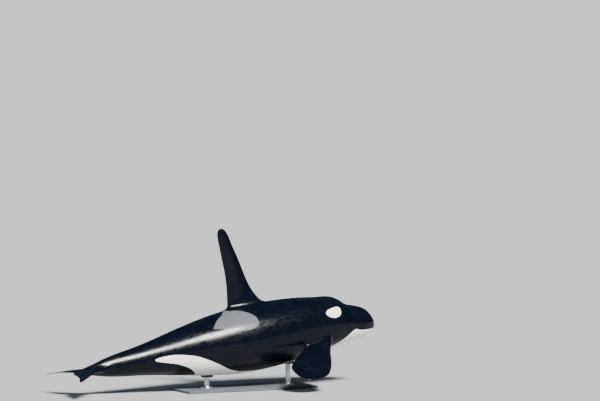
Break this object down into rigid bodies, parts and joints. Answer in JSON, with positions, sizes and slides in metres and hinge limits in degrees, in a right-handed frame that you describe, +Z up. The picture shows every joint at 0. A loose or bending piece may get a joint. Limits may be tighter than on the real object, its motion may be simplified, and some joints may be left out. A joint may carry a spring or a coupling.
{
  "type": "orca display model",
  "caption": "Life-size still model of an adult male orca swimming level with its mouth closed and a tall dorsal fin, held over a flat base by short rods.",
  "frame": {"origin": "on the floor, at the middle of the model in plan, in the plane of symmetry", "axes": "+X towards the head, +Y to the animal's left, +Z up"},
  "size_m": [7.1951, 3.2278, 3.4032],
  "materials": {
    "skin_black": "wet, smooth black skin with white and grey markings",
    "skin_white": "wet, smooth white skin",
    "eye": "wet, dark brown eye",
    "plinth": "satin grey paint",
    "steel": "brushed",
    "pad": "matte grey rubber"
  },
  "bodies": {
    "root": {"head": "skin_black", "lower_jaw": "skin_white", "torso": "skin_black", "tail_stock": "skin_black", "dorsal_fin": "skin_black", "flipper_left": "skin_black", "flipper_right": "skin_black", "fluke_left": "skin_black", "fluke_right": "skin_black", "eye_left": "eye", "eye_right": "eye", "stand_base": "plinth", "stand_flange_front": "steel", "stand_flange_rear": "steel", "stand_rod_front": "steel", "stand_rod_rear": "steel", "stand_pad_front": "pad", "stand_pad_rear": "pad"}
  },
  "joints": []
}
